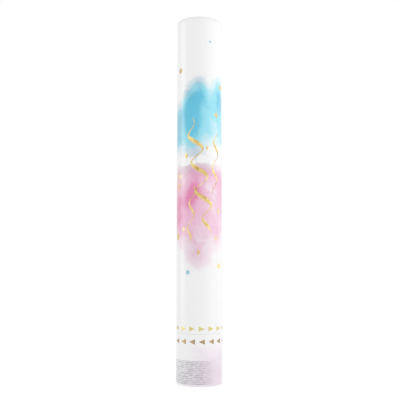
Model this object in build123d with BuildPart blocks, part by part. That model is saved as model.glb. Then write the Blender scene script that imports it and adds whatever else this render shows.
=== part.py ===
from build123d import *
import os
from math import asin, atan, cos, degrees, hypot, pi, radians, sin, sqrt

# Twist-to-fire confetti popper: a card barrel that turns on a card grip and lets off a can of air.
# Lengths are in millimetres, +Z is up and the origin is the centre of the foot.

# Tubes and their printed label
overall_length = 400.0
label_outer_diameter = 50.0
label_thickness = 0.25
label_foot_margin = 0.4
tube_wall = 2.25
grip_length = 53.4
seam_gap = 0.4

# Fits
glue_gap = 0.05
running_clearance = 0.3
rod_clearance = 0.1
seal_gap = 0.03
seal_room = 0.5
cut_overrun = 1.0

# Muzzle cap
cap_lip_thickness = 2.4
cap_web_thickness = 1.2
cap_rim_width = 4.0
cap_skirt_depth = 8.0
cap_skirt_wall = 1.2
cap_edge_radius = 0.6
cap_lead_in = 0.4

# Base plug
base_plug_height = 10.0
base_plug_floor = 2.6
base_plug_wall = 1.8
base_rim_width = 4.0
base_recess_depth = 1.0
base_boss_diameter = 9.0
base_rib_width = 1.2
base_rib_pairs = 3

# Cam hub and cam sleeve, fixed in the grip
hub_floor = 2.5
hub_wall = 2.2
snap_depth = 0.9
sleeve_wall = 4.9
sleeve_foot = 1.0
sleeve_roof = 5.0
sleeve_socket_height = 5.0
sleeve_socket_wall = 2.0
twist_angle = 90.0
cam_lift = 8.0
slot_clearance = 0.2
slot_station_count = 9

# Swivel collar, glued in the barrel
collar_floor = 3.0
collar_depth = 20.0
collar_wall = 2.0
collar_rib_count = 6
collar_rib_width = 1.6
can_socket_depth = 10.0
can_socket_wall = 1.6
spigot_length = 16.0
spigot_wall = 2.0
bead_height = 2.0
bead_tail = 1.5
stem_wall = 3.5
stem_floor_gap = 0.8
fork_headroom = 1.0

# Gas can
can_diameter = 27.0
can_wall = 1.0
can_length = 106.0
can_lip_width = 1.6
can_edge_radius = 0.7
can_shoulder_height = 7.0
can_shoulder_radius = 3.0
can_neck_length = 12.0
can_neck_wall = 2.5
neck_bore_diameter = 13.0

# Valve block and its seals
block_height = 14.0
block_seal_section = 1.6
rod_seal_section = 1.5

# Release rod, cross pin and outlet plug
rod_diameter = 4.0
rod_tail = 3.0
rod_socket_depth = 6.0
pin_diameter = 3.0
pin_end_margin = 0.5
plug_length = 9.0
plug_head_thickness = 2.5
plug_head_overhang = 2.0
plug_edge_radius = 0.6
plug_seal_section = 1.4
plug_seal_height = 4.0

# Fill valve
valve_land = 0.8
valve_wall = 0.6
valve_clearance = 0.15
valve_seat_width = 0.5
valve_seat_height = 4.0
valve_top_margin = 1.0
washer_thickness = 0.6
poppet_stem_recess = 0.5
poppet_head_thickness = 1.5
poppet_nose_length = 2.0
clip_thickness = 1.0
spring_wire = 0.4
spring_seat_gap = 0.05
spring_turns = 4

# Load and what carries it
centring_height = 9.0
centring_wall = 1.5
centring_web = 2.0
centring_drop = 8.0
spacer_wall = 1.2
wad_gap = 4.0
wad_thickness = 5.0
wad_edge_radius = 0.8
stack_count = 3
stack_gap = 0.3
bundle_count = 5
bundle_gap = 0.1
bundle_edge = 0.5
headspace = 10.0

# Radii that the nested pieces share
label_radius = label_outer_diameter / 2
tube_radius = label_radius - label_thickness
bore_radius = tube_radius - tube_wall
glue_radius = bore_radius - glue_gap
slide_radius = bore_radius - running_clearance
hub_inner_radius = glue_radius - hub_wall
spigot_radius = hub_inner_radius - running_clearance
groove_radius = hub_inner_radius + snap_depth
rod_radius = rod_diameter / 2
pin_radius = pin_diameter / 2
guide_radius = rod_radius + rod_clearance
stem_radius = guide_radius + stem_wall
sleeve_inner_radius = stem_radius + running_clearance
sleeve_radius = sleeve_inner_radius + sleeve_wall
socket_radius = sleeve_radius + glue_gap
can_radius = can_diameter / 2
can_inner_radius = can_radius - can_wall
can_socket_radius = can_radius + glue_gap
neck_bore_radius = neck_bore_diameter / 2
neck_radius = neck_bore_radius + can_neck_wall
block_radius = can_inner_radius - glue_gap
block_groove_radius = can_inner_radius - block_seal_section - 2 * seal_gap
gland_groove_radius = rod_radius + rod_seal_section + 2 * seal_gap
plug_radius = neck_bore_radius - rod_clearance
plug_groove_radius = neck_bore_radius - plug_seal_section - 2 * seal_gap
spacer_inner_radius = glue_radius - spacer_wall

# Heights from the foot up
hub_bottom = base_plug_height
hub_floor_top = hub_bottom + hub_floor
hub_top = grip_length - seam_gap / 2
barrel_bottom = grip_length + seam_gap / 2
barrel_top = overall_length - cap_lip_thickness
spigot_bottom = hub_top - spigot_length
bead_bottom = spigot_bottom + bead_tail
collar_floor_top = hub_top + collar_floor
collar_top = hub_top + collar_depth
can_bottom = collar_floor_top
can_top = can_bottom + can_length
neck_bottom = can_top - can_neck_length
shoulder_bottom = neck_bottom - can_shoulder_height
block_bottom = can_bottom + can_wall
block_top = block_bottom + block_height
seal_height = block_bottom + block_height / 2
plug_bottom = can_top - plug_length
plug_top = can_top + plug_head_thickness
wad_bottom = plug_top + cam_lift + wad_gap
wad_top = wad_bottom + wad_thickness
cap_bottom = barrel_top - cap_skirt_depth
load_top = cap_bottom - headspace

# The cam slots climb with the twist and leave the pin clear where their slope is steepest
slot_slope = cam_lift / (sleeve_inner_radius * radians(twist_angle))
slot_half_height = pin_radius / cos(atan(slot_slope)) + slot_clearance
slot_end_angle = degrees(asin((pin_radius + slot_clearance) / sleeve_inner_radius))
slot_end_rise = cam_lift * slot_end_angle / twist_angle
pin_height = hub_floor_top + sleeve_foot + slot_half_height + slot_end_rise
pin_length = 2 * (sleeve_radius - pin_end_margin)
sleeve_top = pin_height + cam_lift + slot_half_height + slot_end_rise + sleeve_roof
fork_width = pin_diameter + 2 * slot_clearance
fork_top = pin_height + cam_lift + pin_radius + fork_headroom
rod_bottom = pin_height - rod_tail
rod_top = plug_bottom + rod_socket_depth

# The fill valve stands midway between the rod's gland and the block's outer groove
valve_offset = (block_groove_radius + gland_groove_radius) / 2
valve_radius = (block_groove_radius - gland_groove_radius) / 2 - valve_land
chamber_radius = valve_radius - valve_wall
poppet_head_radius = chamber_radius - valve_clearance
inlet_radius = poppet_head_radius - valve_seat_width
poppet_stem_radius = inlet_radius - valve_clearance
seat_height = block_bottom + valve_seat_height
head_bottom = seat_height + washer_thickness
head_top = head_bottom + poppet_head_thickness
clip_bottom = block_top - valve_top_margin - clip_thickness
spring_radius = (poppet_stem_radius + chamber_radius) / 2
spring_bottom = head_top + spring_seat_gap + spring_wire / 2
spring_top = clip_bottom - spring_seat_gap - spring_wire / 2

# Three columns of tissue discs fill the bore, each column just clear of the other two
stack_reach = 1 / sin(pi / stack_count)
disc_radius = (slide_radius - stack_reach * stack_gap / 2) / (1 + stack_reach)
stack_offset = stack_reach * (disc_radius + stack_gap / 2)
bundle_pitch = (load_top - wad_top) / bundle_count


# A straight tube between two heights
def tube(outer_radius, inner_radius, bottom, top):
    with BuildPart() as piece:
        with BuildSketch(Plane.XY.offset(bottom)):
            Circle(outer_radius)
            Circle(inner_radius, mode=Mode.SUBTRACT)
        extrude(amount=top - bottom)
    return piece


# A sealing ring that fills the space between two radii but for the seal gap
def seal_ring(inner_radius, outer_radius, height):
    with BuildPart() as piece:
        with BuildSketch(Plane.XZ):
            with Locations(((inner_radius + outer_radius) / 2, height)):
                Circle((outer_radius - inner_radius) / 2 - seal_gap)
        revolve(axis=Axis.Z)
    return piece


# Two tangent arcs that join two points, each with its own direction
def biarc(start, start_direction, end, end_direction):
    across = end - start
    square = 2 * (start_direction.dot(end_direction) - 1)
    linear = -2 * across.dot(start_direction + end_direction)
    reach = (-linear - sqrt(linear**2 - 4 * square * across.dot(across))) / (2 * square)
    first_corner = start + start_direction * reach
    last_corner = end - end_direction * reach
    middle = (first_corner + last_corner) / 2
    TangentArc(start, middle, tangent=start_direction)
    TangentArc(middle, end, tangent=last_corner - first_corner)


# Card tubes, and the label that wraps each of them
grip_tube = tube(tube_radius, bore_radius, 0, hub_top)
launch_tube = tube(tube_radius, bore_radius, barrel_bottom, barrel_top)
grip_label = tube(label_radius, tube_radius, label_foot_margin, hub_top)
barrel_label = tube(label_radius, tube_radius, barrel_bottom, barrel_top)

# Cap: a lip on the muzzle, a web that bursts off whole and a skirt in the bore
with BuildPart() as muzzle_cap:
    with BuildSketch(Plane.XY.offset(barrel_top)):
        Circle(label_radius)
    extrude(amount=cap_lip_thickness)
    with BuildSketch(Plane.XY.offset(barrel_top + cap_web_thickness)):
        Circle(label_radius - cap_rim_width)
    extrude(amount=cap_lip_thickness - cap_web_thickness, mode=Mode.SUBTRACT)
    rim_edges = muzzle_cap.edges().filter_by(GeomType.CIRCLE).group_by(Axis.Z)[-1]
    fillet(rim_edges, cap_edge_radius)
    with BuildSketch(Plane.XY.offset(cap_bottom)):
        Circle(slide_radius)
        Circle(slide_radius - cap_skirt_wall, mode=Mode.SUBTRACT)
    extrude(amount=cap_skirt_depth)
    skirt_edges = muzzle_cap.edges().filter_by(GeomType.CIRCLE).group_by(Axis.Z)[0]
    chamfer(skirt_edges, cap_lead_in)

# Base plug: a moulded cup with a ribbed recess underneath
with BuildPart() as base_plug:
    with BuildSketch():
        Circle(glue_radius)
    extrude(amount=base_plug_height)
    with BuildSketch(Plane.XY.offset(base_plug_floor)):
        Circle(glue_radius - base_plug_wall)
    extrude(amount=base_plug_height - base_plug_floor, mode=Mode.SUBTRACT)
    with BuildSketch():
        Circle(glue_radius - base_rim_width)
        Circle(base_boss_diameter / 2, mode=Mode.SUBTRACT)
        with PolarLocations(0, base_rib_pairs):
            Rectangle(label_outer_diameter, base_rib_width, mode=Mode.SUBTRACT)
    extrude(amount=base_recess_depth, mode=Mode.SUBTRACT)

# Cam hub: a cup with a snap groove for the collar and a socket for the sleeve
with BuildPart() as cam_hub:
    with BuildSketch(Plane.XY.offset(hub_bottom)):
        Circle(glue_radius)
    extrude(amount=hub_top - hub_bottom)
    with BuildSketch(Plane.XY.offset(hub_floor_top)):
        Circle(hub_inner_radius)
    extrude(amount=hub_top - hub_floor_top, mode=Mode.SUBTRACT)
    with BuildSketch(Plane.XY.offset(bead_bottom - running_clearance)):
        Circle(groove_radius)
    extrude(amount=bead_height + 2 * running_clearance, mode=Mode.SUBTRACT)
    with BuildSketch(Plane.XY.offset(hub_floor_top)):
        Circle(socket_radius + sleeve_socket_wall)
        Circle(socket_radius, mode=Mode.SUBTRACT)
    extrude(amount=sleeve_socket_height)

# Space that the cross pin sweeps on one side as it climbs
with BuildPart() as slot_space:
    for station in range(slot_station_count):
        sweep_angle = twist_angle + 2 * slot_end_angle
        station_angle = sweep_angle * station / (slot_station_count - 1) - slot_end_angle
        station_height = pin_height + cam_lift * station_angle / twist_angle
        turn = radians(station_angle)
        radial_plane = Plane(
            origin=(0, 0, station_height),
            x_dir=(cos(turn), sin(turn), 0),
            z_dir=(sin(turn), -cos(turn), 0),
        )
        with BuildSketch(radial_plane):
            with Locations(((sleeve_inner_radius + sleeve_radius) / 2, 0)):
                Rectangle(sleeve_wall + 2 * cut_overrun, 2 * slot_half_height)
    loft(ruled=True)

# Cam sleeve: two climbing slots, each with a way out at the fired end
with BuildPart() as cam_sleeve:
    with BuildSketch(Plane.XY.offset(hub_floor_top)):
        Circle(sleeve_radius)
        Circle(sleeve_inner_radius, mode=Mode.SUBTRACT)
    extrude(amount=sleeve_top - hub_floor_top)
    with PolarLocations(0, 2):
        add(slot_space.part, mode=Mode.SUBTRACT)
    with BuildSketch(Plane.XY.offset(pin_height + cam_lift)):
        Rectangle(fork_width, 2 * (sleeve_radius + cut_overrun), rotation=twist_angle - 90)
    extrude(amount=sleeve_top - pin_height - cam_lift, mode=Mode.SUBTRACT)

# Swivel collar: skirt and can socket above, snap spigot and forked stem below
with BuildPart() as swivel_collar:
    with BuildSketch(Plane.XY.offset(hub_top)):
        Circle(glue_radius)
    extrude(amount=collar_depth)
    with BuildSketch(Plane.XY.offset(collar_floor_top)):
        Circle(glue_radius - collar_wall)
    extrude(amount=collar_depth - collar_floor, mode=Mode.SUBTRACT)
    with BuildSketch(Plane.XY.offset(collar_floor_top)):
        with PolarLocations(0, collar_rib_count):
            with Locations((glue_radius / 2, 0)):
                Rectangle(glue_radius - collar_wall / 2, collar_rib_width)
        Circle(can_socket_radius + can_socket_wall)
        Circle(can_socket_radius, mode=Mode.SUBTRACT)
    extrude(amount=can_socket_depth)
    with BuildSketch(Plane.XY.offset(spigot_bottom)):
        Circle(spigot_radius)
        Circle(spigot_radius - spigot_wall, mode=Mode.SUBTRACT)
    extrude(amount=spigot_length)
    with BuildSketch(Plane.XY.offset(bead_bottom)):
        Circle(groove_radius - running_clearance)
        Circle(spigot_radius - spigot_wall, mode=Mode.SUBTRACT)
    extrude(amount=bead_height)
    with BuildSketch(Plane.XY.offset(hub_floor_top + stem_floor_gap)):
        Circle(stem_radius)
    extrude(amount=hub_top - hub_floor_top - stem_floor_gap)
    with BuildSketch(Plane.XY.offset(hub_floor_top)):
        Circle(guide_radius)
    extrude(amount=collar_floor_top - hub_floor_top, mode=Mode.SUBTRACT)
    with BuildSketch(Plane.XY.offset(hub_top)):
        with Locations((valve_offset, 0)):
            Circle(inlet_radius)
    extrude(amount=collar_floor, mode=Mode.SUBTRACT)
    with BuildSketch(Plane.XY.offset(hub_floor_top)):
        Rectangle(2 * (stem_radius + cut_overrun), fork_width)
    extrude(amount=fork_top - hub_floor_top, mode=Mode.SUBTRACT)

# Gas can: drawn shell, rolled in under the valve block, with a thick neck
with BuildPart() as gas_can:
    with BuildSketch(Plane.XZ):
        with BuildLine():
            Polyline(
                (can_inner_radius - can_lip_width, can_bottom),
                (can_radius, can_bottom),
                (can_radius, shoulder_bottom),
                (neck_radius, neck_bottom),
                (neck_radius, can_top),
                (neck_bore_radius, can_top),
                (neck_bore_radius, neck_bottom - can_wall),
                (can_inner_radius, shoulder_bottom - can_wall),
                (can_inner_radius, block_bottom),
                (can_inner_radius - can_lip_width, block_bottom),
                close=True,
            )
        make_face()
    revolve(axis=Axis.Z)
    outer_edges = gas_can.edges().filter_by(GeomType.CIRCLE).group_by(SortBy.RADIUS)[-1]
    fillet(outer_edges.sort_by(Axis.Z)[0], can_edge_radius)
    fillet(outer_edges.sort_by(Axis.Z)[-1], can_shoulder_radius)

# Valve block: closes the can, guides the rod and holds the fill valve
with BuildPart() as valve_block:
    with BuildSketch(Plane.XY.offset(block_bottom)):
        Circle(block_radius)
        Circle(guide_radius, mode=Mode.SUBTRACT)
        with Locations((valve_offset, 0)):
            Circle(valve_radius + glue_gap, mode=Mode.SUBTRACT)
    extrude(amount=block_height)
    with BuildSketch(Plane.XY.offset(seal_height - (block_seal_section + seal_room) / 2)):
        Circle(can_radius)
        Circle(block_groove_radius, mode=Mode.SUBTRACT)
    extrude(amount=block_seal_section + seal_room, mode=Mode.SUBTRACT)
    with BuildSketch(Plane.XY.offset(seal_height - (rod_seal_section + seal_room) / 2)):
        Circle(gland_groove_radius)
    extrude(amount=rod_seal_section + seal_room, mode=Mode.SUBTRACT)

block_seal = seal_ring(block_groove_radius, can_inner_radius, seal_height)
rod_seal = seal_ring(rod_radius, gland_groove_radius, seal_height)
plug_seal = seal_ring(plug_groove_radius, neck_bore_radius, plug_bottom + plug_seal_height)

# Release rod, bored across for its pin
with BuildPart() as release_rod:
    with BuildSketch(Plane.XY.offset(rod_bottom)):
        Circle(rod_radius)
    extrude(amount=rod_top - rod_bottom)
    with BuildSketch(Plane.YZ):
        with Locations((0, pin_height)):
            Circle(pin_radius + seal_gap)
    extrude(amount=rod_diameter, both=True, mode=Mode.SUBTRACT)

with BuildPart() as cross_pin:
    with BuildSketch(Plane.YZ):
        with Locations((0, pin_height)):
            Circle(pin_radius)
    extrude(amount=pin_length / 2, both=True)

# Outlet plug: a head on the neck, a grooved body in its bore, pressed on the rod
with BuildPart() as outlet_plug:
    with BuildSketch(Plane.XY.offset(plug_bottom)):
        Circle(plug_radius)
    extrude(amount=plug_length)
    with BuildSketch(Plane.XY.offset(can_top)):
        Circle(neck_bore_radius + plug_head_overhang)
    extrude(amount=plug_head_thickness)
    head_edge = outlet_plug.edges().filter_by(GeomType.CIRCLE).group_by(Axis.Z)[-1]
    fillet(head_edge, plug_edge_radius)
    groove_width = plug_seal_section + seal_room
    with BuildSketch(Plane.XY.offset(plug_bottom + plug_seal_height - groove_width / 2)):
        Circle(neck_bore_radius)
        Circle(plug_groove_radius, mode=Mode.SUBTRACT)
    extrude(amount=groove_width, mode=Mode.SUBTRACT)
    with BuildSketch(Plane.XY.offset(plug_bottom)):
        Circle(rod_radius + seal_gap)
    extrude(amount=rod_socket_depth, mode=Mode.SUBTRACT)

# Fill valve: body, spring-loaded poppet on a washer, and the clip over the spring
valve_plane = Plane.XY.offset(block_bottom)
valve_plane = valve_plane.moved(Location((valve_offset, 0, 0)))
with BuildPart() as fill_valve_body:
    with BuildSketch(valve_plane):
        Circle(valve_radius)
        Circle(inlet_radius, mode=Mode.SUBTRACT)
    extrude(amount=block_height)
    with BuildSketch(valve_plane.offset(valve_seat_height)):
        Circle(chamber_radius)
    extrude(amount=block_height - valve_seat_height, mode=Mode.SUBTRACT)

with BuildPart() as fill_valve_poppet:
    with BuildSketch(valve_plane.offset(poppet_stem_recess)):
        Circle(poppet_stem_radius)
    extrude(amount=head_bottom - block_bottom - poppet_stem_recess)
    with BuildSketch(valve_plane.offset(head_bottom - block_bottom)):
        Circle(poppet_head_radius)
    extrude(amount=poppet_head_thickness)
    with BuildSketch(valve_plane.offset(head_top - block_bottom)):
        Circle(poppet_stem_radius)
    extrude(amount=poppet_nose_length)

with BuildPart() as fill_valve_washer:
    with BuildSketch(valve_plane.offset(valve_seat_height)):
        Circle(poppet_head_radius)
        Circle(poppet_stem_radius + seal_gap, mode=Mode.SUBTRACT)
    extrude(amount=washer_thickness)

with BuildPart() as fill_valve_clip:
    with BuildSketch(valve_plane.offset(clip_bottom - block_bottom)):
        Circle(chamber_radius - seal_gap)
        Circle(inlet_radius, mode=Mode.SUBTRACT)
    extrude(amount=clip_thickness)

# Coil spring: its quarter turns are biarcs between points of a helix
spring_rise = (spring_top - spring_bottom) / (2 * pi * spring_turns)
with BuildPart() as fill_valve_spring:
    with BuildLine() as spring_line:
        for quarter in range(4 * spring_turns):
            points = []
            directions = []
            for turn in (quarter * pi / 2, (quarter + 1) * pi / 2):
                across = Vector(spring_radius * cos(turn), spring_radius * sin(turn), 0)
                points.append(across + Vector(valve_offset, 0, spring_bottom + spring_rise * turn))
                run = Vector(-spring_radius * sin(turn), spring_radius * cos(turn), spring_rise)
                directions.append(run.normalized())
            biarc(points[0], directions[0], points[1], directions[1])
    with BuildSketch(Plane(origin=spring_line.line @ 0, z_dir=spring_line.line % 0)):
        Circle(spring_wire / 2)
    sweep(path=spring_line.line)
spring_pitch = 2 * pi * spring_rise
spring_gap = spring_pitch / hypot(1, spring_rise / spring_radius) - spring_wire
print(f"gap between the turns of the fill valve spring: {spring_gap:.2f} mm")

# Ring that centres the can: a hub on the can and a rim in the liner, joined by a web
with BuildPart() as centring_ring:
    with BuildSketch(Plane.XY.offset(shoulder_bottom - centring_drop - centring_height)):
        Circle(spacer_inner_radius - glue_gap)
        Circle(spacer_inner_radius - glue_gap - centring_wall, mode=Mode.SUBTRACT)
    extrude(amount=centring_height)
    with BuildSketch(Plane.XY.offset(shoulder_bottom - centring_drop - centring_height)):
        Circle(can_socket_radius + centring_wall)
        Circle(can_socket_radius, mode=Mode.SUBTRACT)
    extrude(amount=centring_height)
    with BuildSketch(Plane.XY.offset(shoulder_bottom - centring_drop - centring_web)):
        Circle(spacer_inner_radius - glue_gap)
        Circle(can_socket_radius, mode=Mode.SUBTRACT)
    extrude(amount=centring_web)

# Card liner that carries the wad above the can
spacer_tube = tube(glue_radius, spacer_inner_radius, collar_top, wad_bottom)

with BuildPart() as wad:
    with BuildSketch(Plane.XY.offset(wad_bottom)):
        Circle(slide_radius)
    extrude(amount=wad_thickness)
    fillet(wad.edges().filter_by(GeomType.CIRCLE), wad_edge_radius)


# One column of tissue discs, in bundles with softened edges
def disc_column(turn):
    with BuildPart() as piece:
        for bundle in range(bundle_count):
            with BuildSketch(Plane.XY.offset(wad_top + bundle * bundle_pitch)):
                with Locations((stack_offset * cos(turn), stack_offset * sin(turn))):
                    Circle(disc_radius)
            extrude(amount=bundle_pitch - bundle_gap)
            chamfer(piece.edges(Select.LAST).filter_by(GeomType.CIRCLE), bundle_edge)
    return piece


pieces = {
    "grip_tube": grip_tube,
    "grip_label": grip_label,
    "base_plug": base_plug,
    "cam_hub": cam_hub,
    "cam_sleeve": cam_sleeve,
    "launch_tube": launch_tube,
    "barrel_label": barrel_label,
    "swivel_collar": swivel_collar,
    "gas_can": gas_can,
    "valve_block": valve_block,
    "block_seal": block_seal,
    "rod_seal": rod_seal,
    "fill_valve_body": fill_valve_body,
    "fill_valve_spring": fill_valve_spring,
    "fill_valve_clip": fill_valve_clip,
    "fill_valve_poppet": fill_valve_poppet,
    "fill_valve_washer": fill_valve_washer,
    "release_rod": release_rod,
    "cross_pin": cross_pin,
    "outlet_plug": outlet_plug,
    "plug_seal": plug_seal,
    "centring_ring": centring_ring,
    "spacer_tube": spacer_tube,
    "wad": wad,
    "muzzle_cap": muzzle_cap,
}
for stack in range(stack_count):
    pieces[f"confetti_stack_{stack + 1}"] = disc_column(2 * pi * stack / stack_count + pi / 2)

os.makedirs("parts", exist_ok=True)
for name, piece in pieces.items():
    piece.part.label = name
    export_step(piece.part, f"parts/{name}.step")
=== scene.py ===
import bmesh
import bpy
import numpy as np
from math import cos, pi, radians, sin
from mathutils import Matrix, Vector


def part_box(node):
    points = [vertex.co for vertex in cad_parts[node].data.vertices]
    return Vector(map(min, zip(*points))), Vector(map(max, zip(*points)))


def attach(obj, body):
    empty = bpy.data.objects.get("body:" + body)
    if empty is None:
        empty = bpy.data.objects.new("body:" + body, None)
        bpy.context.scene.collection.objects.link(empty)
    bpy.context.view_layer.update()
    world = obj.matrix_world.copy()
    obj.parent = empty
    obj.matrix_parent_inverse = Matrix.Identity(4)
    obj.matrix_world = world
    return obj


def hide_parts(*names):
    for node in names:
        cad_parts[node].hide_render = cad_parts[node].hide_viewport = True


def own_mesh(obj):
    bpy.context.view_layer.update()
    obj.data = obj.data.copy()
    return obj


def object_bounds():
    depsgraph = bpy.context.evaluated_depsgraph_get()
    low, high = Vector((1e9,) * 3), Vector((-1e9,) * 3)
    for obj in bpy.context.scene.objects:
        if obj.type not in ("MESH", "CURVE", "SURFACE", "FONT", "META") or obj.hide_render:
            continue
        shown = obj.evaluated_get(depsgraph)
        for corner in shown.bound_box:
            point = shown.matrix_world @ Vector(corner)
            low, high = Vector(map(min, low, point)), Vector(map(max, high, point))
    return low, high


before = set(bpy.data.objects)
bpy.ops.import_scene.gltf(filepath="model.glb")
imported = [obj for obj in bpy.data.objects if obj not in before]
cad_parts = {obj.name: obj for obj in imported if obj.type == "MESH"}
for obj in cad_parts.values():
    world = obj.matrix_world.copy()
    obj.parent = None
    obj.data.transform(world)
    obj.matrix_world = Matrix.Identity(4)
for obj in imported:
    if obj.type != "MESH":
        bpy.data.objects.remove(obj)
cadLow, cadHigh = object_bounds()

mm = 0.001  # lengths below are in millimetres, Blender's in metres
mergeDistance = 0.001
seededDraws = np.random.default_rng(11)


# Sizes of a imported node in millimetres: bottom, top and outer radius, half its width in x
def extent(node):
    low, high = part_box(node)
    return low.z / mm, high.z / mm, (high.x - low.x) / 2 / mm


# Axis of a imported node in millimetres: half way between its sides in x and in y
def axisPlace(node):
    low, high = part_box(node)
    return (low.x + high.x) / 2 / mm, (low.y + high.y) / 2 / mm


# Ease from 0 to 1: 3 x squared minus 2 x cubed, with x held between 0 and 1
def ease(x):
    x = np.clip(x, 0, 1)
    return x * x * (3 - 2 * x)


# 1 between low and high, eased to 0 at both over the length of the fade
def between(value, low, high, fade):
    return ease((value - low) / fade) * ease((high - value) / fade)


# Taper of a stroke: 0 at both ends of t, eased to 1 between them, sooner with a higher ramp
def endTaper(t, startRamp, endRamp):
    return ease(startRamp * t) * ease(endRamp * (1 - t))


# Directions all the way round in radians, evenly spaced
def allRound(count):
    return np.linspace(0, 2 * pi, count, endpoint=False)


# Quads between neighbours of a rows by columns grid, either way may close on itself
def gridQuads(rows, columns, closeRows=False, closeColumns=True):
    row = np.arange(rows if closeRows else rows - 1)[:, None]
    column = np.arange(columns if closeColumns else columns - 1)[None, :]
    nextRow = (row + 1) % rows
    nextColumn = (column + 1) % columns
    corners = (
        row * columns + column,
        row * columns + nextColumn,
        nextRow * columns + nextColumn,
        nextRow * columns + column,
    )
    return np.stack(corners, axis=-1).reshape(-1, 4)


# The same quads for many equal grids in one list, each grid's indices offset by its size
def repeatQuads(quads, copies, gridSize):
    offsets = np.arange(copies)[:, None, None] * gridSize
    return (quads[None] + offsets).reshape(-1, 4)


# Points on a round skin: x is r sin a, y is minus r cos a, so angle 0 faces the camera
def roll(angle, height, radius):
    angle, height, radius = np.broadcast_arrays(angle, height, radius)
    return np.stack([radius * np.sin(angle), -radius * np.cos(angle), height], axis=-1)


# A mesh from grid points in millimetres: points that coincide merged, faces turned outwards
def gridMesh(name, points, quads, turnOutwards=True):
    mesh = bpy.data.meshes.new(name)
    mesh.from_pydata((points.reshape(-1, 3) * mm).tolist(), [], quads.tolist())
    work = bmesh.new()
    work.from_mesh(mesh)
    bmesh.ops.remove_doubles(work, verts=work.verts, dist=mergeDistance * mm)
    if turnOutwards:
        bmesh.ops.recalc_face_normals(work, faces=work.faces)
    work.to_mesh(mesh)
    work.free()
    return mesh


# An object for a mesh, lamp or camera, put into the scene
def addObject(name, data):
    thing = bpy.data.objects.new(name, data)
    bpy.context.scene.collection.objects.link(thing)
    return thing


# A closed piece from grid points, smooth except at edges sharper than an angle in degrees
def addPiece(name, points, quads, finish, body, slot, sharpAngle, replaced=()):
    mesh = gridMesh(name, points, quads)
    mesh.shade_smooth()
    mesh.set_sharp_from_angle(angle=radians(sharpAngle))
    mesh.materials.append(finish)
    piece = addObject(name, mesh)
    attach(piece, body)
    if replaced:
        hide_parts(*replaced)
    return piece


# Vertex places of a piece in millimetres, as one array
def meshPoints(piece):
    flat = np.empty(len(piece.data.vertices) * 3)
    piece.data.vertices.foreach_get("co", flat)
    return flat.reshape(-1, 3) / mm


# A number for every vertex, which a finish reads by its name
def paint(piece, name, values):
    layer = piece.data.attributes.new(name, "FLOAT", "POINT")
    layer.data.foreach_set("value", np.ascontiguousarray(values, dtype=np.float32))


# A shader node with its inputs set or linked, and its own settings
def addNode(tree, kind, inputs=None, **settings):
    node = tree.nodes.new("ShaderNode" + kind)
    for key, value in settings.items():
        setattr(node, key, value)
    for key, value in (inputs or {}).items():
        if isinstance(value, bpy.types.NodeSocket):
            tree.links.new(value, node.inputs[key])
        else:
            node.inputs[key].default_value = value
    return node


# One math operation on one or two values
def calc(tree, operation, first, second=0.0):
    return addNode(tree, "Math", {0: first, 1: second}, operation=operation).outputs[0]


# A start plus a sum of values, each times its own weight
def weighedSum(tree, weighed, start=0.0):
    total = start
    for value, weight in weighed:
        terms = {0: value, 1: weight, 2: total}
        total = addNode(tree, "Math", terms, operation="MULTIPLY_ADD").outputs[0]
    return total


# A value from 0 to 1 carried over a span: low plus the value times the difference
def span(tree, value, low, high):
    return weighedSum(tree, [(value, high - low)], low)


# A value eased from 0 at low to 1 at high
def rise(tree, value, low, high):
    sockets = {"Value": value, "From Min": low, "From Max": high}
    return addNode(tree, "MapRange", sockets, interpolation_type="SMOOTHSTEP").outputs[0]


# Distance of a value from the middle of its whole step, from 0 to one half
def fromMiddle(tree, value):
    return calc(tree, "ABSOLUTE", calc(tree, "SUBTRACT", calc(tree, "FRACT", value), 0.5))


# Colour a towards colour b by a factor, in the given blend
def tint(tree, factor, a, b, blend="MIX"):
    node = addNode(tree, "Mix", {0: factor, 6: a, 7: b}, data_type="RGBA", blend_type=blend)
    return node.outputs[2]


# A colour times a share
def shaded(colour, share):
    return tuple(share * channel for channel in colour)


# Cloud noise from 0 to 1: scale in lumps per metre, heights times their own scale beforehand
def cloud(tree, place, scale, detail, rough=0.5, twist=0.0, heightScale=1.0):
    if heightScale != 1.0:
        place = addNode(tree, "Mapping", {"Vector": place, "Scale": (1, 1, heightScale)}).outputs[0]
    noise = addNode(tree, "TexNoise", {"Vector": place, "Scale": scale, "Detail": detail})
    noise.inputs["Roughness"].default_value = rough
    noise.inputs["Distortion"].default_value = twist
    return noise.outputs["Fac"]


# Linear colours along a value from 0 to 1, each at its own stop and eased between
def colourSteps(tree, value, stops, colours):
    node = addNode(tree, "ValToRGB", {"Fac": value})
    node.color_ramp.interpolation = "EASE"
    steps = node.color_ramp.elements
    while len(steps) < len(stops):
        steps.new(0.5)
    for step, position, colour in zip(steps, stops, colours):
        step.position = position
        step.color = (*colour, 1)
    return node.outputs[0]


# A normal tilted by a height from 0 to 1, its depth in millimetres
def relief(tree, height, depth, strength):
    sockets = {"Height": height, "Distance": depth * mm, "Strength": strength}
    return addNode(tree, "Bump", sockets).outputs[0]


# An attribute that a piece carries, as a number
def painted(tree, name):
    return addNode(tree, "Attribute", attribute_name=name).outputs["Fac"]


# Distance from the tube's axis, turn round it from -pi to pi, and height, from Object coordinates
def roundPlace(tree, place):
    x, y, height = addNode(tree, "SeparateXYZ", {0: place}).outputs
    squares = calc(tree, "ADD", calc(tree, "POWER", x, 2.0), calc(tree, "POWER", y, 2.0))
    return calc(tree, "SQRT", squares), calc(tree, "ARCTAN2", x, y), height


# Distance from a spiral joint: whole turns plus height over the pitch, from the middle of the step
def fromJoint(tree, turn, height, pitch):
    return fromMiddle(tree, weighedSum(tree, [(turn, 0.5 / pi), (height, 1 / (pitch * mm))]))


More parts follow.
